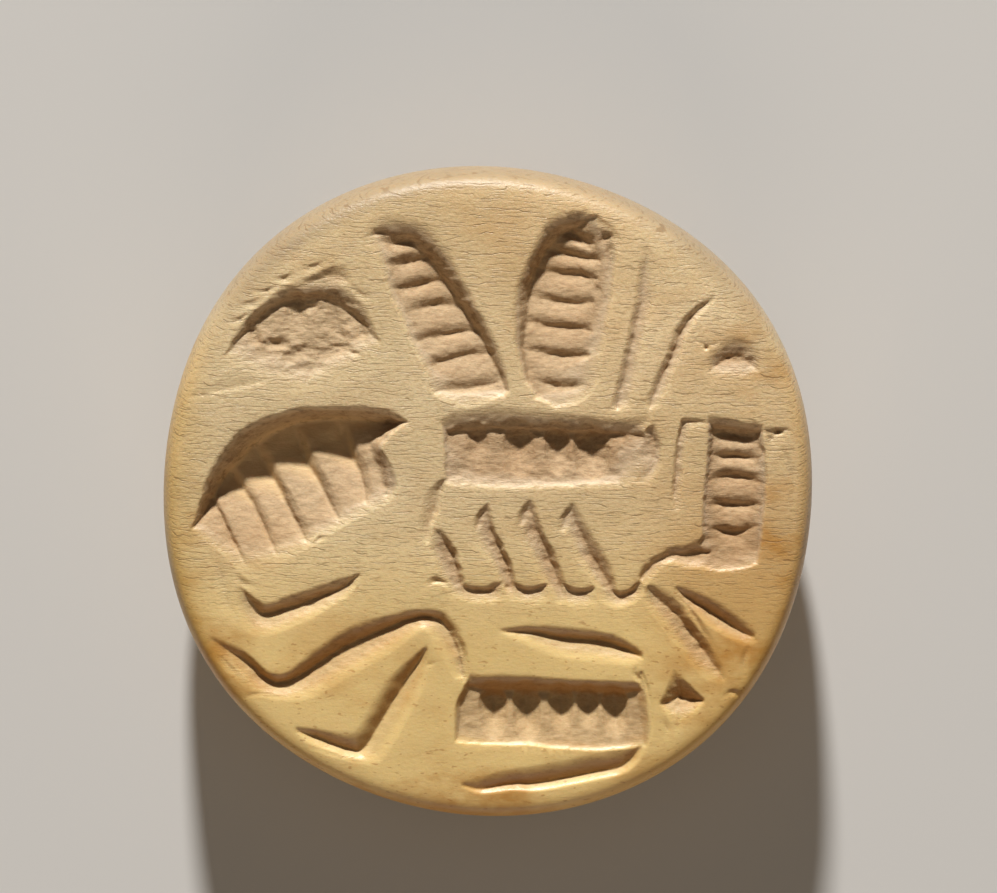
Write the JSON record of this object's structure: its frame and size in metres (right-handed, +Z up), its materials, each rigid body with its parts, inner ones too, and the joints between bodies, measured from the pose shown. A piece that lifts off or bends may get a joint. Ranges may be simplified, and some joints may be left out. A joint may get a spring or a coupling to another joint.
{
  "type": "seal amulet",
  "caption": "Round bone seal amulet, face up: ribbed plumes, toothed hollows and wedge grooves carved in its rounded disc, with a low boss behind, pierced for a cord",
  "frame": {"origin": "centre of the bounding rectangle of the disc, on the flat foot of the boss that the amulet lies on", "axes": "+Z is up, out of the carved face, and is the disc's short way; +Y points to the top of the carved design and +X to its right, as the face is looked at"},
  "size_m": [0.0298, 0.03, 0.0087],
  "materials": {
    "bone": "satin"
  },
  "bodies": {
    "root": {"seal": "bone"}
  },
  "joints": []
}
